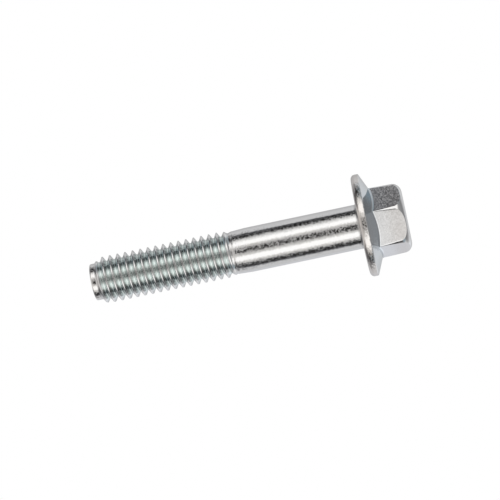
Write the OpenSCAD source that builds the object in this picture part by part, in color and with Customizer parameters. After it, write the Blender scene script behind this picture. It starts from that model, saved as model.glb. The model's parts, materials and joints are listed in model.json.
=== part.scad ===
// Hexagon flange bolt with a reduced shank and a rolled right-hand thread.
// It stands on its head: z = 0 is the flat end of the head, and the shank points up along +Z.
// Lengths are in millimetres and angles in degrees.

/* [Thread] */
// Outside diameter of the thread
thread_d = 6; // [5:0.1:8]
// Distance from one crest to the next
pitch = 1; // [0.7:0.05:1.25]
// Threaded length, from the tip to the end of the run-out
thread_len = 18.6; // [12:0.1:26]
// Length over which the thread fades into the shank
run_out = 0.6; // [0.4:0.1:2.5]
// Length over which the first turn grows to its full height
lead_in = 1.35; // [0.5:0.05:3]
// Turn of the thread about the axis
thread_turn = 292; // [0:1:359]
// Flat facets in one turn of the thread
facets_per_turn = 36; // [24:4:48]

/* [Tip] */
// How much thinner the plain point is than the root of the thread, on the diameter
tip_relief = 0.04; // [0:0.01:0.5]
// Length of the plain point ahead of the thread
tip_len = 0.4; // [0.4:0.1:3]
// Radius of the rounded end
tip_round = 0.35; // [0.1:0.05:0.4]

/* [Shank] */
// Length from the bearing face to the tip
bolt_len = 35; // [30:1:80]
// How much thinner the plain shank is than the thread, on the diameter
shank_relief = 0.3; // [0.1:0.01:0.6]
// How much thinner the neck is than the shank where the thread begins, on the diameter
neck_relief = 0.19; // [0.05:0.01:0.4]
// Length of the taper from the shank to the neck
neck_len = 1.8; // [0.5:0.1:4]
// Radius of the fillet between the shank and the bearing face
fillet_r = 0.3; // [0.1:0.05:0.8]

/* [Flange] */
// Outside diameter of the flange
flange_d = 13.2; // [12:0.1:18]
// Height of the flange at its rim
rim_h = 1.02; // [0.9:0.02:2]
// Slope of the flange from its rim up to the hexagon
flange_slope = 24; // [15:1:30]
// Radius of the rim's edge at the bearing face
bearing_edge_r = 0.45; // [0.1:0.05:0.6]
// Radius of the rim's edge at the slope
slope_edge_r = 0.18; // [0.05:0.01:0.25]

/* [Hexagon] */
// Width across the flats
flats_w = 8; // [7:0.1:10]
// Height of the whole head, from the bearing face to its flat end
head_h = 6; // [5:0.1:8]
// How far the six corners are cut back where the crown begins
corner_trim = 0.12; // [0.02:0.01:0.4]
// Length of that cut along the corners
trim_len = 2.8; // [1:0.1:3.4]
// Radius of the rounded crown round the flat end
crown_r = 1.25; // [0.4:0.05:1.5]

/* [Hidden] */
$fn = 96;

// Small overlaps that tie neighbouring forms together
lap = 0.3;
seam = 0.05;

// Levels along the axis
tip_z = head_h + bolt_len;
thread_top_z = tip_z - tip_len;
neck_z = tip_z - thread_len;
rim_z = head_h - rim_h;

// Thread form: a 60 degree profile, with an eighth of the pitch flat at the crest and a rounded root
flank_angle = 30;
crest_flat = 1 / 8;
thread_depth = 17 / 24 * pitch * cos(flank_angle);
root_round = pitch * cos(flank_angle) / 6;
crest_r = thread_d / 2;
root_r = crest_r - thread_depth;

// Radii of the plain stretches, and of the thread where it meets them
tip_r = root_r - tip_relief / 2;
shank_r = crest_r - shank_relief / 2;
neck_r = shank_r - neck_relief / 2;
tip_ring_r = tip_r + seam / 2;
neck_ring_r = neck_r - seam;

// Head
flange_r = flange_d / 2;
corner_r = flats_w / 2 / cos(30);
crown_top_r = corner_r - corner_trim - crown_r;
trim_slope = corner_trim / trim_len;

// Rows of the thread's surface in one pitch: place along the axis, and depth, as shares
root_run = root_round * cos(flank_angle) / pitch;
root_rise = root_round * (1 - sin(flank_angle)) / thread_depth;
thread_rows = [
    [-crest_flat / 2, 0],
    [crest_flat / 2, 0],
    [0.5 - root_run, 1 - root_rise],
    [0.5, 1],
    [0.5 + root_run, 1 - root_rise]
];
row_count = len(thread_rows);
first_z = neck_z + seam;
crest_start_z = tip_z - pitch * (thread_turn / 360 + ceil(thread_len / pitch) + 1);
step_count = facets_per_turn * (ceil(thread_len / pitch) + 3);

// Height of a row after so many steps round the helix; the last row is the next turn's first
function row_z(step, row) =
    row == row_count
        ? row_z(step + facets_per_turn, 0)
        : crest_start_z + pitch * (step / facets_per_turn + thread_rows[row][0]);

// Share of the full thread form at a height: it grows from the point and fades at the run-out
function grown(z) = max(0, min(1, (thread_top_z - z) / lead_in));
function kept(z) = max(0, min(1, (z - first_z) / run_out));
function row_r(z, depth_share) =
    let (full_r = crest_r - depth_share * thread_depth)
    z > (first_z + thread_top_z) / 2
        ? tip_ring_r + (full_r - tip_ring_r) * grown(z)
        : neck_ring_r + (full_r - neck_ring_r) * kept(z);

function on_circle(r, step, z) =
    let (angle = 360 * step / facets_per_turn)
    [r * cos(angle), r * sin(angle), z];
function ring(r, z) = [for (step = [0 : facets_per_turn - 1]) on_circle(r, step, z)];

// Number of a point: what lies past either end of the thread is the end ring's own point
ring_count = 3;
function point_number(step, row) =
    let (z = row_z(step, row), on_ring = step % facets_per_turn)
    z <= first_z ? facets_per_turn + on_ring
    : z >= thread_top_z ? 2 * facets_per_turn + on_ring
    : row == row_count ? point_number(step + facets_per_turn, 0)
    : ring_count * facets_per_turn + step * row_count + row;

function is_face(f) = f[0] != f[1] && f[1] != f[2] && f[2] != f[0];

// The threaded length as one closed form, with a short plain prism that laps into the neck
module thread() {
    points = concat(
        ring(neck_ring_r, neck_z - lap),
        ring(neck_ring_r, first_z),
        ring(tip_ring_r, thread_top_z),
        [
            for (step = [0 : step_count], row = [0 : row_count - 1])
                let (z = row_z(step, row))
                on_circle(row_r(z, thread_rows[row][1]), step, z)
        ]
    );
    turn_faces = [
        for (step = [0 : step_count - 1], row = [0 : row_count - 1])
            let (
                a = point_number(step, row),
                b = point_number(step + 1, row),
                c = point_number(step + 1, row + 1),
                d = point_number(step, row + 1)
            )
            each [[a, c, b], [a, d, c]]
    ];
    prism_faces = [
        for (i = [0 : facets_per_turn - 1])
            let (next = (i + 1) % facets_per_turn)
            each [
                [i, facets_per_turn + next, next],
                [i, facets_per_turn + i, facets_per_turn + next]
            ]
    ];
    end_faces = [
        [for (i = [0 : facets_per_turn - 1]) i],
        [for (i = [facets_per_turn - 1 : -1 : 0]) 2 * facets_per_turn + i]
    ];
    closed_faces = [for (f = turn_faces) if (is_face(f)) f];
    polyhedron(points, concat(closed_faces, prism_faces, end_faces));
}

// Plain point ahead of the thread, with its end rounded
module tip() {
    rotate_extrude() {
        translate([0, thread_top_z - lap])
            square([tip_r, tip_len + lap - tip_round]);
        translate([0, thread_top_z - lap])
            square([tip_r - tip_round, tip_len + lap]);
        intersection() {
            translate([tip_r - tip_round, tip_z - tip_round])
                circle(tip_round);
            translate([tip_r - tip_round, tip_z - tip_round])
                square(tip_round);
        }
    }
}

// Section of the shank, its neck and the fillet under the head
module shank_section() {
    polygon([
        [0, head_h - lap],
        [shank_r, head_h - lap],
        [shank_r, neck_z - neck_len],
        [neck_r, neck_z],
        [0, neck_z]
    ]);
    difference() {
        translate([shank_r - lap, head_h - lap])
            square(fillet_r + lap);
        translate([shank_r + fillet_r, head_h + fillet_r])
            circle(fillet_r);
    }
}

// Section of the flange, with both edges of its rim rounded
module flange_section() {
    slope_edge_z = rim_z + slope_edge_r * (1 - sin(flange_slope)) / cos(flange_slope);
    bearing_edge_at = [flange_r - bearing_edge_r, head_h - bearing_edge_r];
    slope_edge_at = [flange_r - slope_edge_r, slope_edge_z];
    polygon([
        [0, head_h],
        [bearing_edge_at[0], head_h],
        [flange_r, bearing_edge_at[1]],
        [flange_r, slope_edge_z],
        slope_edge_at + slope_edge_r * [sin(flange_slope), -cos(flange_slope)],
        [0, rim_z - flange_r * tan(flange_slope)]
    ]);
    translate(bearing_edge_at)
        circle(bearing_edge_r);
    translate(slope_edge_at)
        circle(slope_edge_r);
}

// Section that the hexagon is turned to: a rounded crown, and corners cut back towards it
module crown_section() {
    polygon([
        [0, 0],
        [crown_top_r, 0],
        [crown_top_r + crown_r, crown_r],
        [crown_top_r + crown_r + trim_slope * (rim_z - crown_r), rim_z],
        [0, rim_z]
    ]);
    translate([crown_top_r, crown_r])
        circle(crown_r);
}

module hexagon() {
    intersection() {
        cylinder(h = rim_z, r = corner_r, $fn = 6);
        rotate_extrude()
            crown_section();
    }
}

module flange_bolt() {
    color("#c5c9cc") {
        hexagon();
        rotate_extrude() {
            flange_section();
            shank_section();
        }
        thread();
        tip();
    }
}

flange_bolt();
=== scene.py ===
import json
import math

import bmesh
import bpy
import numpy as np
from mathutils import Matrix, Vector


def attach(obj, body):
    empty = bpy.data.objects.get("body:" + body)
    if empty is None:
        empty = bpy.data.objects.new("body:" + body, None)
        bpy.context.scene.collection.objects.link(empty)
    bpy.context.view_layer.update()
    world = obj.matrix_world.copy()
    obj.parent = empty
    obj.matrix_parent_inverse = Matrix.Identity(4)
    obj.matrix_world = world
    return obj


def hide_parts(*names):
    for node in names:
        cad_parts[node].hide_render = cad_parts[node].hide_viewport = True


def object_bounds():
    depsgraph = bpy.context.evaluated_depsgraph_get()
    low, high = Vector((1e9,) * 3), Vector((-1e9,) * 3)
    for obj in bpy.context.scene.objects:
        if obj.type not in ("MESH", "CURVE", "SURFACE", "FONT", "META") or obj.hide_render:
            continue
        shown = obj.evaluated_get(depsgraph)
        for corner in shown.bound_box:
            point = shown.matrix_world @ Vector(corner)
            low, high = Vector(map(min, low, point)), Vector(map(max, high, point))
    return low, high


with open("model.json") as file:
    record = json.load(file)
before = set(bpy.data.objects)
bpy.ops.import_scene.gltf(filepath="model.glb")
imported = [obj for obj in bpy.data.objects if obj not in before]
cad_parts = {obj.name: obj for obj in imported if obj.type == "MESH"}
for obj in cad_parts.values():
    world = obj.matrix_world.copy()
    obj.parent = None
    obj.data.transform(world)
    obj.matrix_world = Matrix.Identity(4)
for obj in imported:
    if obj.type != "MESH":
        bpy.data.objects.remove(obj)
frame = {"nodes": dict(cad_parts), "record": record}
cadLow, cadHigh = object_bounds()
mounts = {mount["name"]: mount for mount in frame["record"]["mounts"]}
print("frame loaded:", sorted(frame["nodes"]))

mm = 0.001  # settings are in millimetres and degrees, and Blender works in metres

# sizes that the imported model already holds
tipZ = cadHigh.z / mm
flangeR = cadHigh.x / mm
bearingZ = mounts["bearing_face"]["pos_m"][2] / mm
shankR = mounts["shank"]["dims"]["r_mm"]

scene = bpy.context.scene
scene.view_settings.view_transform = "Standard"


def linkObject(name, data):
    made = bpy.data.objects.new(name, data)
    scene.collection.objects.link(made)
    return made


# node helpers: a socket takes either another socket or a plain value

def newNode(tree, kind, **settings):
    node = tree.nodes.new(kind)
    for name, value in settings.items():
        setattr(node, name, value)
    return node


def feed(tree, socket, value):
    if isinstance(value, bpy.types.NodeSocket):
        tree.links.new(value, socket)
    else:
        socket.default_value = value


def workNode(tree, kind, operation, values):
    node = newNode(tree, kind, operation=operation)
    for socket, value in zip(node.inputs, values):
        feed(tree, socket, value)
    return node.outputs[0]


def mathNode(tree, operation, *values):
    return workNode(tree, "ShaderNodeMath", operation, values)


def vectorNode(tree, operation, *values):
    return workNode(tree, "ShaderNodeVectorMath", operation, values)


def clampNode(tree, value):
    return mathNode(tree, "MINIMUM", mathNode(tree, "MAXIMUM", value, 0.0), 1.0)


def rangeNode(tree, value, span, into=(0.0, 1.0), interpolation="SMOOTHSTEP"):
    node = newNode(tree, "ShaderNodeMapRange", interpolation_type=interpolation)
    feed(tree, node.inputs["Value"], value)
    node.inputs["From Min"].default_value, node.inputs["From Max"].default_value = span
    node.inputs["To Min"].default_value, node.inputs["To Max"].default_value = into
    return node.outputs["Result"]


def opaque(colour):
    return (*colour, 1.0)


def mixColour(tree, share, first, second):
    node = newNode(tree, "ShaderNodeMix", data_type="RGBA")
    feed(tree, node.inputs[0], share)
    for socket, colour in ((node.inputs[6], first), (node.inputs[7], second)):  # the two colour sockets
        feed(tree, socket, opaque(colour) if isinstance(colour, tuple) else colour)
    return node.outputs[2]


def rampNode(tree, share, stops):
    node = newNode(tree, "ShaderNodeValToRGB")
    elements = node.color_ramp.elements
    while len(elements) < len(stops):
        elements.new(1.0)
    for element, (place, colour) in zip(elements, stops):
        element.position = place
        element.color = opaque(colour)
    feed(tree, node.inputs[0], share)
    return node.outputs[0]


# camera

camera = {
    "azimuth": -79.0,             # round the bolt, from +X
    "distance": 310.0,
    "height": -2.0,               # just past the end of the head
    "aimZ": 20.42,                # place on the bolt at the middle of the picture
    "aimBelow": 0.057,            # how far that is below the axis
    "roll": 11.84,                # how far the bolt is turned in the picture
    "pixel": 0.1277,              # size of a pixel on the bolt
    "pictureWidth": 500,
    "sensor": 36.0,
    "reach": (10.0, 100000.0),    # nearest and farthest that it sees
}


def placeCamera():
    towards = math.radians(camera["azimuth"])
    side = Vector((math.cos(towards), math.sin(towards), 0.0))
    place = side * camera["distance"] + Vector((0.0, 0.0, camera["height"]))
    down = Vector((math.sin(towards), -math.cos(towards), 0.0))
    aim = Vector((0.0, 0.0, camera["aimZ"])) + down * camera["aimBelow"]
    back = (place - aim).normalized()
    roll = math.radians(camera["roll"])
    right = -Vector((0.0, 0.0, 1.0)) * math.cos(roll) + down * math.sin(roll)
    right = (right - back * right.dot(back)).normalized()
    up = back.cross(right)
    turned = Matrix((right, up, back)).transposed().to_4x4()
    data = bpy.data.cameras.new("camera")
    data.sensor_width = camera["sensor"]
    focalPixels = (place - aim).length / camera["pixel"]
    data.lens = focalPixels / camera["pictureWidth"] * camera["sensor"]
    data.clip_start, data.clip_end = (reach * mm for reach in camera["reach"])
    made = linkObject("camera", data)
    made.matrix_world = Matrix.Translation(place * mm) @ turned
    scene.camera = made
    print("camera placed, lens", round(data.lens, 1))


placeCamera()


# studio: a white backdrop, two tall soft boxes with dark gaps beside them, and a dim wall by the camera

studio = {
    "backdrop": (0.68, 0.68, 0.685),
    "coolBackdrop": (0.84, 0.85, 0.88),
    "lowBackdrop": (0.86, 0.865, 0.87),
    "box": (1.22, 1.207, 1.185),
    "boxEdge": (0.70, 0.685, 0.66),
    "boxFoot": (0.52, 0.515, 0.505),
    "wall": (0.44, 0.43, 0.42),
    "gap": (0.125, 0.125, 0.13),
    "cardBack": (0.2, 0.2, 0.2),
    "lowGap": (0.36, 0.43, 0.47),
    "lowCool": (1.05, 1.08, 1.13),
    "above": (0.57, 0.55, 0.53),
    "aboveFar": (0.62, 0.62, 0.63),
    "aboveBackdrop": (0.38, 0.38, 0.39),
    "aboveBox": (0.74, 0.71, 0.68),
    "aboveEdge": (0.5, 0.48, 0.46),
    "aboveCorner": (0.3, 0.295, 0.29),
    "aboveGap": (0.2, 0.2, 0.205),
    "aboveStrip": (0.07, 0.07, 0.075),
    "zenith": (0.68, 0.665, 0.65),
    "shadow": (0.0, 0.0, 0.0),
    "fill": (0.9, 0.9, 0.9),         # light on the floor
    "picture": (1.0, 1.0, 1.0),      # background that the camera sees
    # how far a ray rises or falls where the next zone takes over from the ring
    "aboveRise": (0.4, 0.8),
    "zenithRise": (0.87, 0.94),
    "lowFall": (0.1, 0.35),
    "belowFall": (0.45, 0.72),
    "darkEdge": (1.2, 0.2),          # outside and inside of a dark thing's soft edge
    "floorZ": -0.02,
    "floorSize": 3000.0,
    "floorColour": (0.85, 0.85, 0.85),
}
# angle round the bolt, from the camera towards the lower edge of the picture
studioRing = [
    (-180, "backdrop"),
    (-103, "backdrop"),
    (-98, "gap"),
    (-90, "gap"),
    (-80, "cardBack"),
    (-68, "boxFoot"),
    (-47, "box"),
    (-35, "box"),
    (-25.5, "boxEdge"),
    (-14, "wall"),
    (5, "wall"),
    (20.5, "boxEdge"),
    (29.5, "box"),
    (47, "box"),
    (57, "boxEdge"),
    (68, "boxFoot"),
    (80, "cardBack"),
    (88, "gap"),
    (95, "gap"),
    (104.5, "backdrop"),
    (132, "backdrop"),
    (142, "coolBackdrop"),
    (165, "coolBackdrop"),
    (180, "backdrop"),
]
# dark things in that ring: angle, rise, half width, half height, and how much light they take
studioDark = [
    (-2, 0.07, 17, 0.17, 0.93),    # the camera
    (-81, 0.06, 17, 0.14, 0.95),   # black cards beside the boxes
    (79, 0.06, 18, 0.15, 0.95),
    (-82, 0.55, 17, 0.24, 0.93),   # their dark tops
    (79, 0.55, 20, 0.24, 0.93),
    (-110, 0.35, 15, 0.22, 0.62),  # and upper corners
    (111, 0.35, 16, 0.22, 0.62),
]
# the ring again, above the boxes
studioAbove = [
    (-180, "aboveFar"),
    (-160, "aboveFar"),
    (-142, "aboveBackdrop"),
    (-128, "aboveStrip"),
    (-116, "aboveStrip"),
    (-104, "aboveGap"),
    (-90, "aboveGap"),
    (-62, "aboveCorner"),
    (-52, "aboveEdge"),
    (-42, "aboveBox"),
    (0, "above"),
    (42, "aboveBox"),
    (54, "aboveEdge"),
    (68, "aboveCorner"),
    (90, "aboveGap"),
    (104, "aboveGap"),
    (116, "aboveStrip"),
    (128, "aboveStrip"),
    (142, "aboveBackdrop"),
    (160, "aboveFar"),
    (180, "aboveFar"),
]
# straight below, from behind the bolt (-1) to the camera (1)
studioBelow = [
    (-1.0, (0.83, 0.84, 0.855)),
    (-0.75, (0.76, 0.77, 0.785)),
    (-0.48, (0.49, 0.49, 0.5)),
    (-0.25, (0.26, 0.26, 0.26)),
    (0.1, (0.27, 0.275, 0.28)),
    (0.5, (0.36, 0.36, 0.36)),
    (1.0, (0.32, 0.32, 0.32)),
]
# the ring again, nearer the floor
studioLowRing = [
    (-180, "lowBackdrop"),
    (-128, "lowBackdrop"),
    (-118, "lowGap"),
    (-70, "lowGap"),
    (-52, "box"),
    (-30, "box"),
    (-13, "wall"),
    (7, "wall"),
    (17, "box"),
    (54, "box"),
    (69, "lowGap"),
    (90, "lowGap"),
    (104, "lowBackdrop"),
    (132, "lowBackdrop"),
    (146, "lowCool"),
    (158, "lowCool"),
    (169, "lowBackdrop"),
    (180, "lowBackdrop"),
]


def buildWorld():
    world = bpy.data.worlds.new("studio")
    scene.world = world
    world.use_nodes = True
    tree = world.node_tree
    tree.nodes.clear()
    ray = newNode(tree, "ShaderNodeTexCoord").outputs["Generated"]
    turned = newNode(tree, "ShaderNodeVectorRotate", rotation_type="Z_AXIS")
    feed(tree, turned.inputs["Vector"], ray)
    turned.inputs["Angle"].default_value = -math.radians(camera["azimuth"])
    parts = newNode(tree, "ShaderNodeSeparateXYZ")
    feed(tree, parts.inputs[0], turned.outputs[0])
    front, side, rise = parts.outputs
    angle = mathNode(tree, "ARCTAN2", mathNode(tree, "MULTIPLY", side, -1.0), front)
    share = mathNode(tree, "ADD", mathNode(tree, "DIVIDE", angle, 2 * math.pi), 0.5)

    def ringRamp(stops):
        return rampNode(tree, share, [(degrees / 360 + 0.5, studio[name]) for degrees, name in stops])

    ring = ringRamp(studioRing)
    for middle, height, halfWidth, halfHeight, shade in studioDark:
        offAngle = mathNode(tree, "SUBTRACT", angle, math.radians(middle))
        offAngle = mathNode(tree, "DIVIDE", offAngle, math.radians(halfWidth))
        offRise = mathNode(tree, "DIVIDE", mathNode(tree, "SUBTRACT", rise, height), halfHeight)
        square = mathNode(tree, "MULTIPLY", offAngle, offAngle)
        square = mathNode(tree, "MULTIPLY_ADD", offRise, offRise, square)
        dark = mathNode(tree, "MULTIPLY", rangeNode(tree, square, studio["darkEdge"]), shade)
        ring = mixColour(tree, dark, ring, studio["shadow"])

    depth = mathNode(tree, "MULTIPLY_ADD", front, 0.5, 0.5)
    below = rampNode(tree, depth, [(place / 2 + 0.5, colour) for place, colour in studioBelow])
    fall = mathNode(tree, "MULTIPLY", rise, -1.0)
    shown = mixColour(tree, rangeNode(tree, rise, studio["aboveRise"]), ring, ringRamp(studioAbove))
    shown = mixColour(tree, rangeNode(tree, rise, studio["zenithRise"]), shown, studio["zenith"])
    shown = mixColour(tree, rangeNode(tree, fall, studio["lowFall"]), shown, ringRamp(studioLowRing))
    shown = mixColour(tree, rangeNode(tree, fall, studio["belowFall"]), shown, below)
    path = newNode(tree, "ShaderNodeLightPath")
    other = mixColour(tree, path.outputs["Is Camera Ray"], studio["fill"], studio["picture"])
    colour = mixColour(tree, path.outputs["Is Glossy Ray"], other, shown)
    background = newNode(tree, "ShaderNodeBackground")
    feed(tree, background.inputs["Color"], colour)
    output = newNode(tree, "ShaderNodeOutputWorld")
    tree.links.new(background.outputs[0], output.inputs["Surface"])


def buildFloor():
    material = bpy.data.materials.new("paleFloor")
    material.use_nodes = True
    tree = material.node_tree
    tree.nodes.clear()
    paper = newNode(tree, "ShaderNodeBsdfDiffuse")
    paper.inputs["Color"].default_value = opaque(studio["floorColour"])
    clear = newNode(tree, "ShaderNodeBsdfTransparent")
    oneSided = newNode(tree, "ShaderNodeMixShader")
    feed(tree, oneSided.inputs[0], newNode(tree, "ShaderNodeNewGeometry").outputs["Backfacing"])
    tree.links.new(paper.outputs[0], oneSided.inputs[1])
    tree.links.new(clear.outputs[0], oneSided.inputs[2])
    output = newNode(tree, "ShaderNodeOutputMaterial")
    tree.links.new(oneSided.outputs[0], output.inputs["Surface"])
    half = studio["floorSize"] / 2 * mm
    height = studio["floorZ"] * mm
    mesh = bpy.data.meshes.new("floor")
    corners = ((-half, -half), (half, -half), (half, half), (-half, half))
    mesh.from_pydata([(x, y, height) for x, y in corners], [], [(0, 1, 2, 3)])
    mesh.materials.append(material)
    floor = linkObject("floor", mesh)
    floor.visible_glossy = False  # the metal shows the studio instead


buildWorld()
buildFloor()
print("studio built")


# zinc plate

zinc = {
    # height, colour, and how far the crystals lean along the bolt and round it; at a few heights the
    # colour is painted shade
    "stations": [
        (0.0, (0.84, 0.83, 0.82), 0.06, 0.03),
        (1.0, (0.76, 0.735, 0.725), 0.06, 0.03),
        (1.9, (0.78, 0.765, 0.76), 0.06, 0.035),
        (2.6, (0.86, 0.86, 0.87), 0.06, 0.035),
        (3.8, (0.865, 0.88, 0.905), 0.04, 0.02),
        (4.0, (0.74, 0.795, 0.83), 0.03, 0.03),     # slope of the flange
        (4.85, (0.74, 0.795, 0.83), 0.03, 0.03),
        (5.05, (0.78, 0.735, 0.695), 0.52, 0.09),   # rim
        (5.5, (0.78, 0.735, 0.695), 0.52, 0.09),
        # the rounded edge under the rim: its darker brown grey is painted shade
        (5.62, (0.64, 0.59, 0.55), 0.12, 0.05),
        (5.94, (0.64, 0.59, 0.55), 0.1, 0.05),
        (5.99, (0.78, 0.765, 0.75), 0.1, 0.1),      # bearing face
        (6.03, (0.78, 0.765, 0.75), 0.1, 0.1),
        (6.1, (0.34, 0.33, 0.32), 0.24, 0.06),      # fillet, its dark grey painted shade in the crease under the flange
        (6.2, (0.34, 0.33, 0.32), 0.24, 0.06),
        (6.3, (0.83, 0.823, 0.816), 0.24, 0.06),    # shank
        (22.0, (0.83, 0.823, 0.816), 0.24, 0.06),
        (23.0, (0.83, 0.823, 0.816), 0.08, 0.04),   # thread
        (40.2, (0.83, 0.823, 0.816), 0.08, 0.04),
        (40.35, (0.83, 0.823, 0.816), 0.22, 0.06),  # point
        (40.84, (0.8, 0.78, 0.76), 0.22, 0.06),
        # the point's rounded edge: this dark brown band is painted shade
        (40.93, (0.5, 0.46, 0.42), 0.2, 0.06),
        (40.97, (0.5, 0.46, 0.42), 0.2, 0.06),
        (40.99, (0.8, 0.79, 0.78), 0.1, 0.1),       # end
    ],
    "edge": (0.72, 0.72, 0.72),      # how much of the light is kept at a glancing angle
    "cloud": (0.79, 0.80, 0.82),
    "cloudShare": 0.7,
    "cloudScale": 320.0,
    "cloudDetail": 3.0,
    "cloudRange": (0.3, 0.7),
    # crest, flank and root of the thread, by depth: the flanks' darker grey is painted shade, and the
    # crest's warm and the root's cool tints are the plate's hue
    "depths": [
        (0.0, (0.83, 0.81, 0.785)),
        (0.12, (0.7, 0.7, 0.7)),
        (0.42, (0.7, 0.715, 0.715)),
        (0.62, (0.75, 0.81, 0.8)),
        (1.0, (0.75, 0.81, 0.8)),
    ],
    "threadFade": (0.02, 0.2),       # depth over which the thread's colours take over
    "grainScale": 7500.0,
    "grainPatches": (0.75, 1.1),     # how strong the grain is, from cloud to cloud
    "roughness": (0.05, 0.10),
    "threadRoughness": 0.12,
}


def zincPlate():
    material = bpy.data.materials.new("zincPlate")
    material.use_nodes = True
    tree = material.node_tree
    shader = tree.nodes["Principled BSDF"]
    shader.inputs["Metallic"].default_value = 1.0
    shader.inputs["Specular Tint"].default_value = opaque(zinc["edge"])
    place = newNode(tree, "ShaderNodeTexCoord").outputs["Object"]
    clouds = newNode(tree, "ShaderNodeTexNoise")
    feed(tree, clouds.inputs["Vector"], place)
    clouds.inputs["Scale"].default_value = zinc["cloudScale"]
    clouds.inputs["Detail"].default_value = zinc["cloudDetail"]
    cloud = clouds.outputs["Fac"]

    # colour by height, with pale clouds, and by depth on the thread; the height ramp holds painted shade
    # at the rounding under the rim, the under-head fillet and the point's edge
    parts = newNode(tree, "ShaderNodeSeparateXYZ")
    feed(tree, parts.inputs[0], place)
    along = mathNode(tree, "DIVIDE", parts.outputs["Z"], tipZ * mm)
    stations = zinc["stations"]
    toneAndPaintedShade = rampNode(tree, along, [(z / tipZ, colour) for z, colour, lengthways, roundways in stations])
    colour = mixColour(tree, mathNode(tree, "MULTIPLY", cloud, zinc["cloudShare"]), toneAndPaintedShade, zinc["cloud"])
    valley = newNode(tree, "ShaderNodeAttribute", attribute_name="threadDepth").outputs["Fac"]
    onThread = rangeNode(tree, valley, zinc["threadFade"])
    colour = mixColour(tree, onThread, colour, rampNode(tree, valley, zinc["depths"]))
    feed(tree, shader.inputs["Base Color"], colour)
    plain = rangeNode(tree, cloud, zinc["cloudRange"], zinc["roughness"], "LINEAR")
    rolled = mathNode(tree, "MULTIPLY", onThread, zinc["threadRoughness"])
    feed(tree, shader.inputs["Roughness"], mathNode(tree, "MAXIMUM", plain, rolled))

    # the plate's crystals each lean a little their own way
    crystals = newNode(tree, "ShaderNodeTexVoronoi")
    feed(tree, crystals.inputs["Vector"], place)
    crystals.inputs["Scale"].default_value = zinc["grainScale"]
    leans = rampNode(tree, along, [(z / tipZ, (roundways, roundways, lengthways))
                                   for z, colour, lengthways, roundways in stations])
    patches = rangeNode(tree, cloud, zinc["cloudRange"], zinc["grainPatches"], "LINEAR")
    lean = vectorNode(tree, "SUBTRACT", crystals.outputs["Color"], (0.5, 0.5, 0.5))
    lean = vectorNode(tree, "MULTIPLY", vectorNode(tree, "MULTIPLY", lean, leans), patches)
    straight = newNode(tree, "ShaderNodeNewGeometry").outputs["Normal"]
    leaning = vectorNode(tree, "NORMALIZE", vectorNode(tree, "ADD", straight, lean))
    feed(tree, shader.inputs["Normal"], leaning)
    return material


zincMaterial = zincPlate()
print("zinc plate mixed")


# rolled thread, by geometry nodes

thread = {
    "pitch": 1.0,
    "majorR": 3.0,
    "length": 18.6,         # from the tip to the end of the run-out
    "runOut": 1.3,
    "leadIn": 1.1,
    "turn": 292.0,
    "flankAngle": 30.0,
    "depthShare": 17 / 24,  # of the height of the sharp form
    "rootShare": 1 / 6,     # radius of the root, of the same height
    "crestFlat": 0.125,     # share of the pitch
    "crestRound": 0.02,
    "columns": 96,
    "rowsPerPitch": 32,
    "spareTurns": 2,        # rolled past the ends and drawn back to them
    "weld": 0.0002,         # points nearer than this are joined
}
neck = {"relief": 0.095, "length": 1.8, "step": 0.03}
point = {
    "length": 0.65,
    "relief": 0.02,
    "collar": 0.1,             # width of the row next to the thread
    "round": 0.2,
    "roundRows": 9,
    "endShares": (0.7, 0.35),  # rows on the end, in towards the axis
}

flankAngle = math.radians(thread["flankAngle"])
sharpHeight = thread["pitch"] * math.cos(flankAngle)
threadDepth = thread["depthShare"] * sharpHeight
neckR = shankR - neck["relief"]
neckZ = tipZ - thread["length"]
pointR = thread["majorR"] - threadDepth - point["relief"]
threadStart = neckZ + neck["step"]
threadEnd = tipZ - point["length"]


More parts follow.
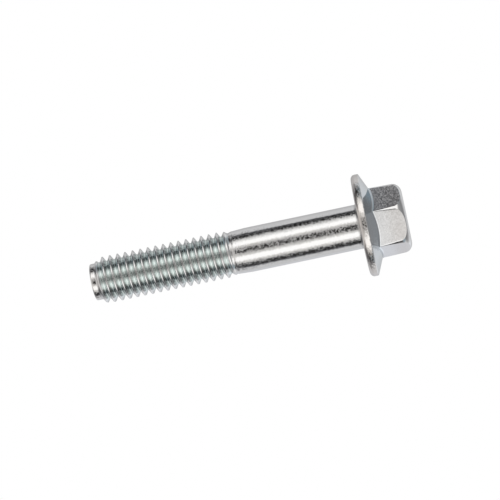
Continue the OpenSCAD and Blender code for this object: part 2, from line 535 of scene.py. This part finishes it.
def threadTree():
    tree = bpy.data.node_groups.new("rolledThread", "GeometryNodeTree")
    sockets = tree.interface
    sockets.new_socket("Geometry", in_out="OUTPUT", socket_type="NodeSocketGeometry")
    measures = ["Pitch", "Major Radius", "Thread Depth", "Root Round", "Neck Radius", "Point Radius",
                "Start", "End", "Lead In", "Run Out", "First Crest", "Crest Flat", "Crest Round", "Weld"]
    for name in measures:
        sockets.new_socket(name, in_out="INPUT", socket_type="NodeSocketFloat")
    for name in ("Columns", "Rows", "Rows Per Pitch"):
        sockets.new_socket(name, in_out="INPUT", socket_type="NodeSocketInt")
    sockets.new_socket("Finish", in_out="INPUT", socket_type="NodeSocketMaterial")
    given = newNode(tree, "NodeGroupInput").outputs

    def do(operation, *values):
        return mathNode(tree, operation, *values)

    def between(first, second, share):
        return do("MULTIPLY_ADD", do("SUBTRACT", second, first), share, first)

    # a sheet that is rolled round the axis, with its rows leaning along the helix
    sheet = newNode(tree, "GeometryNodeMeshGrid")
    sheet.inputs["Size X"].default_value = 1.0
    sheet.inputs["Size Y"].default_value = 1.0
    feed(tree, sheet.inputs["Vertices X"], do("ADD", given["Columns"], 1.0))
    feed(tree, sheet.inputs["Vertices Y"], do("ADD", given["Rows"], 1.0))
    place = newNode(tree, "ShaderNodeSeparateXYZ")
    feed(tree, place.inputs[0], newNode(tree, "GeometryNodeInputPosition").outputs[0])
    turnShare = do("ADD", place.outputs["X"], 0.5)
    row = do("MULTIPLY", do("ADD", place.outputs["Y"], 0.5), given["Rows"])
    climb = do("ADD", do("DIVIDE", row, given["Rows Per Pitch"]), turnShare)
    rawZ = do("MULTIPLY_ADD", climb, given["Pitch"], given["First Crest"])
    z = do("MINIMUM", do("MAXIMUM", rawZ, given["Start"]), given["End"])

    # profile: distance from the nearest crest, flat crest, 60 degree flanks and a round root
    fromFirst = do("SUBTRACT", z, given["First Crest"])
    pitches = do("SUBTRACT", do("DIVIDE", fromFirst, given["Pitch"]), turnShare)
    away = do("PINGPONG", pitches, 0.5)
    flankRun = do("SUBTRACT", away, do("MULTIPLY", given["Crest Flat"], 0.5))
    flank = do("MULTIPLY", do("MULTIPLY", flankRun, given["Pitch"]), 1 / math.tan(flankAngle))
    rootR = given["Root Round"]
    rootCentre = do("SUBTRACT", given["Thread Depth"], rootR)
    fromRoot = do("MULTIPLY", do("SUBTRACT", 0.5, away), given["Pitch"])
    inside = do("SUBTRACT", do("MULTIPLY", rootR, rootR), do("MULTIPLY", fromRoot, fromRoot))
    arc = do("ADD", rootCentre, do("SQRT", do("MAXIMUM", inside, 0.0)))
    tangent = do("ADD", rootCentre, do("MULTIPLY", rootR, math.sin(flankAngle)))
    depth = do("MINIMUM", flank, do("MAXIMUM", arc, tangent))
    depth = do("SMOOTH_MAX", depth, 0.0, given["Crest Round"])

    # the form fades into the neck and grows from the point
    kept = clampNode(tree, do("DIVIDE", do("SUBTRACT", z, given["Start"]), given["Run Out"]))
    ahead = clampNode(tree, do("DIVIDE", do("SUBTRACT", given["End"], z), given["Lead In"]))
    grown = do("MULTIPLY", ahead, do("SUBTRACT", 2.0, ahead))
    full = do("SUBTRACT", given["Major Radius"], depth)
    radius = between(given["Point Radius"], between(given["Neck Radius"], full, kept), grown)
    angle = do("MULTIPLY", turnShare, 2 * math.pi)
    rolled = newNode(tree, "ShaderNodeCombineXYZ")
    feed(tree, rolled.inputs["X"], do("MULTIPLY", radius, do("COSINE", angle)))
    feed(tree, rolled.inputs["Y"], do("MULTIPLY", radius, do("SINE", angle)))
    feed(tree, rolled.inputs["Z"], z)

    # how deep each point lies in the thread goes with the mesh, for its colour, which paints shade on
    # the flanks
    store = newNode(tree, "GeometryNodeStoreNamedAttribute", data_type="FLOAT", domain="POINT")
    feed(tree, store.inputs["Geometry"], sheet.outputs["Mesh"])
    store.inputs["Name"].default_value = "threadDepth"
    share = do("DIVIDE", depth, given["Thread Depth"])
    feed(tree, store.inputs["Value"], do("MULTIPLY", share, do("MULTIPLY", kept, grown)))
    move = newNode(tree, "GeometryNodeSetPosition")
    feed(tree, move.inputs["Geometry"], store.outputs["Geometry"])
    feed(tree, move.inputs["Position"], rolled.outputs[0])
    weld = newNode(tree, "GeometryNodeMergeByDistance")
    feed(tree, weld.inputs["Geometry"], move.outputs["Geometry"])
    feed(tree, weld.inputs["Distance"], given["Weld"])
    real = newNode(tree, "GeometryNodeRealizeInstances")
    feed(tree, real.inputs["Geometry"], weld.outputs["Geometry"])
    finish = newNode(tree, "GeometryNodeSetMaterial")
    feed(tree, finish.inputs["Geometry"], real.outputs["Geometry"])
    feed(tree, finish.inputs["Material"], given["Finish"])
    output = newNode(tree, "NodeGroupOutput")
    feed(tree, output.inputs[0], finish.outputs["Geometry"])
    return tree


def threadMesh():
    turns = math.ceil(thread["length"] / thread["pitch"]) + thread["spareTurns"]
    firstCrest = tipZ - thread["pitch"] * (thread["turn"] / 360 + turns - 1)
    values = {
        "Pitch": thread["pitch"] * mm,
        "Major Radius": thread["majorR"] * mm,
        "Thread Depth": threadDepth * mm,
        "Root Round": thread["rootShare"] * sharpHeight * mm,
        "Neck Radius": (neckR - neck["step"]) * mm,
        "Point Radius": pointR * mm,
        "Start": threadStart * mm,
        "End": threadEnd * mm,
        "Lead In": thread["leadIn"] * mm,
        "Run Out": thread["runOut"] * mm,
        "First Crest": firstCrest * mm,
        "Crest Flat": thread["crestFlat"],
        "Crest Round": thread["crestRound"] * mm,
        "Weld": thread["weld"] * mm,
        "Columns": thread["columns"],
        "Rows": turns * thread["rowsPerPitch"],
        "Rows Per Pitch": thread["rowsPerPitch"],
        "Finish": zincMaterial,
    }
    holder = linkObject("threadHolder", bpy.data.meshes.new("threadHolder"))
    modifier = holder.modifiers.new("rolledThread", "NODES")
    modifier.node_group = threadTree()
    for item in modifier.node_group.interface.items_tree:
        if item.name in values:
            modifier[item.identifier] = values[item.name]
    graph = bpy.context.evaluated_depsgraph_get()
    mesh = bpy.data.meshes.new_from_object(holder.evaluated_get(graph), depsgraph=graph)
    holder.modifiers.remove(modifier)
    bpy.data.objects.remove(holder)
    print("thread rolled:", len(mesh.polygons), "faces")
    return mesh


# head, flange, shank and point: rows round the axis, each a radius and a height for every column

head = {
    "sides": 6,
    "acrossFlats": 8.0,
    "cornerRound": 0.1,
    "cornerTrim": 0.12,             # the corners are cut back towards the crown
    "trimLength": 2.8,
    "trimRound": 0.035,             # how far the cut's edges are eased
    "crownR": 1.25,
    "crownEdge": 0.04,              # easing of the edge between the crown and the flats
    "footFillet": 0.3,              # where the flats meet the flange
    "columnsPerCorner": 48,
    "cornerCrowding": 0.12,
    "endShares": (0.3, 0.7, 0.95),  # rows on the flat end, out from the axis
    "crownRows": 25,
    "flatRows": 12,
    "footRows": 9,
}
flange = {
    "rimHeight": 1.02,
    "slope": 24.0,
    "slopeShares": (0.25, 0.5, 0.75, 0.95),
    "slopeEdge": 0.18,
    "slopeEdgeRows": 9,
    "bearingEdge": 0.54,
    "bearingEdgeRows": 13,
    "outerFace": 0.3,               # width of the bearing face's outer row
    "seam": 1.7,                    # from the shank out to the end of the head's columns
}
shank = {
    "seam": 1.5,                    # from the shank out to the start of its own columns
    "innerFace": 0.2,               # width of the bearing face's inner row
    "fillet": 0.3,
    "filletRows": 11,
    "rows": 14,
    "taperRows": 7,
}
sideTurn = 360 / head["sides"]
halfSide = math.radians(sideTurn / 2)


def headAngles():
    count = head["columnsPerCorner"]
    even = np.arange(count) / count * 2 - 1
    crowded = even * (head["cornerCrowding"] + (1 - head["cornerCrowding"]) * even ** 2)
    corners = np.arange(head["sides"])[:, None] * sideTurn
    return np.radians((corners + sideTurn / 2 * crowded[None, :]).ravel())


def hexagonRadius(angles):
    half = head["acrossFlats"] / 2
    fromCorner = (angles + halfSide) % (2 * halfSide) - halfSide
    toFlat = halfSide - np.abs(fromCorner)
    flat = half / np.cos(toFlat)
    roundR = head["cornerRound"]
    centre = (half - roundR) / math.cos(halfSide)
    side = centre * np.sin(fromCorner)
    corner = centre * np.cos(fromCorner) + np.sqrt(np.maximum(roundR ** 2 - side ** 2, 0))
    onCorner = toFlat > math.atan((half - roundR) * math.tan(halfSide) / half)
    return np.where(onCorner, corner, flat)


def arcRows(centre, radius, first, last, count):
    rows = []
    for angle in np.radians(np.linspace(first, last, count)):
        rows.append((centre[0] + radius * math.cos(angle), centre[1] + radius * math.sin(angle)))
    return rows


def headRows(angles):
    hexR = hexagonRadius(angles)
    cornerR = head["acrossFlats"] / 2 / math.cos(halfSide)
    crownR = head["crownR"]
    trimR = cornerR - head["cornerTrim"]
    crownTop = trimR - crownR

    # the flats and the cut corners blend where they meet
    def sideR(z):
        cutR = trimR + (z - crownR) * head["cornerTrim"] / head["trimLength"]
        blend = np.maximum(1 - np.abs(hexR - cutR) / head["trimRound"], 0)
        return np.minimum(hexR, cutR) - blend ** 2 * head["trimRound"] / 4

    def onCrown(run):
        return crownTop + crownR * np.sin(run / crownR), crownR * (1 - np.cos(run / crownR))

    # the crown's length, in each column, before it meets a flat or a cut corner
    meet = crownR * np.arcsin(np.clip((sideR(crownR) - crownTop) / crownR, 0, 1))
    rows = [(crownTop * share, 0.0) for share in head["endShares"]]
    for share in np.linspace(0, 1, head["crownRows"]):
        rows.append(onCrown((meet - head["crownEdge"]) * share))
    rows.append(onCrown(meet))
    flatStart = onCrown(meet)[1]

    # fillet between the flats and the slope of the flange
    slope = math.radians(flange["slope"])
    rimZ = bearingZ - flange["rimHeight"]
    fillet = head["footFillet"]

    def slopeZ(r):
        return rimZ - (flangeR - r) * math.tan(slope)

    centreR = hexR + fillet
    centreZ = slopeZ(centreR) - fillet / math.cos(slope)
    flatLength = centreZ - flatStart - head["crownEdge"]
    for share in np.linspace(0, 1, head["flatRows"]):
        z = flatStart + head["crownEdge"] + flatLength * share
        rows.append((sideR(z), z))
    for angle in np.radians(np.linspace(180, 90 + flange["slope"], head["footRows"]))[1:]:
        rows.append((centreR + fillet * math.cos(angle), centreZ + fillet * math.sin(angle)))

    # slope and rim of the flange
    footR = rows[-1][0]
    edge = flange["slopeEdge"]
    edgeZ = rimZ + edge * (1 - math.sin(slope)) / math.cos(slope)
    edgeR = flangeR - edge + edge * math.sin(slope)
    for share in flange["slopeShares"]:
        r = footR + (edgeR - footR) * share
        rows.append((r, slopeZ(r)))
    rows += arcRows((flangeR - edge, edgeZ), edge, flange["slope"] - 90, 0, flange["slopeEdgeRows"])
    edge = flange["bearingEdge"]
    rows += arcRows((flangeR - edge, bearingZ - edge), edge, 0, 90, flange["bearingEdgeRows"])
    rows.append((flangeR - edge - flange["outerFace"], bearingZ))
    rows.append((shankR + flange["seam"], bearingZ))
    return rows


def shankRows():
    fillet = shank["fillet"]
    rows = [(shankR + shank["seam"], bearingZ), (shankR + fillet + shank["innerFace"], bearingZ)]
    rows += arcRows((shankR + fillet, bearingZ + fillet), fillet, -90, -180, shank["filletRows"])
    taperZ = neckZ - neck["length"]
    for z in np.linspace(bearingZ + fillet, taperZ, shank["rows"])[1:]:
        rows.append((shankR, z))
    for share in np.linspace(0, 1, shank["taperRows"])[1:]:
        rows.append((shankR + (neckR - shankR) * share, taperZ + (neckZ - taperZ) * share))
    rows.append((neckR - neck["step"], threadStart))
    return rows


def pointRows():
    roundR = point["round"]
    rows = [(pointR, threadEnd), (pointR, threadEnd + point["collar"])]
    rows += arcRows((pointR - roundR, tipZ - roundR), roundR, 0, 90, point["roundRows"])
    rows += [((pointR - roundR) * share, tipZ) for share in point["endShares"]]
    return rows


def addRing(form, row, angles):
    radii, heights = (np.broadcast_to(value, angles.shape) * mm for value in row)
    xs, ys = radii * np.cos(angles), radii * np.sin(angles)
    return [form.verts.new(place) for place in zip(xs, ys, heights)]


def addSkin(form, rows, angles):
    rings = [addRing(form, row, angles) for row in rows]
    for lower, upper in zip(rings, rings[1:]):
        for i in range(len(lower)):
            form.faces.new((lower[i - 1], lower[i], upper[i], upper[i - 1]))
    return rings


def closeEnd(form, ring, z):
    pole = form.verts.new((0.0, 0.0, z * mm))
    for i in range(len(ring)):
        form.faces.new((ring[i - 1], ring[i], pole))


def ringEdges(form, ring):
    return [form.edges.get((ring[i - 1], ring[i])) for i in range(len(ring))]


skinWeld = 0.0005  # points of neighbouring skins nearer than this are joined


def buildBolt():
    form = bmesh.new()
    form.from_mesh(threadMesh())
    hexAngles = headAngles()
    roundAngles = np.arange(thread["columns"]) / thread["columns"] * 2 * math.pi
    headRings = addSkin(form, headRows(hexAngles), hexAngles)
    closeEnd(form, headRings[0], 0.0)
    shankRings = addSkin(form, shankRows(), roundAngles)
    bmesh.ops.bridge_loops(form, edges=ringEdges(form, headRings[-1]) + ringEdges(form, shankRings[0]))
    pointRings = addSkin(form, pointRows(), roundAngles)
    closeEnd(form, pointRings[-1], tipZ)
    bmesh.ops.remove_doubles(form, verts=form.verts, dist=skinWeld * mm)
    bmesh.ops.recalc_face_normals(form, faces=form.faces)
    for patch in form.faces:
        patch.smooth = True
        patch.material_index = 0
    openEdges = sum(1 for edge in form.edges if not edge.is_manifold)
    mesh = bpy.data.meshes.new("flangeBolt")
    form.to_mesh(mesh)
    form.free()
    mesh.materials.append(zincMaterial)
    triangles = sum(len(face.vertices) - 2 for face in mesh.polygons)
    print("bolt built:", triangles, "triangles,", openEdges, "open edges")
    return linkObject("flangeBolt", mesh)


bolt = buildBolt()
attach(bolt, "root")
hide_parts("flange_bolt")
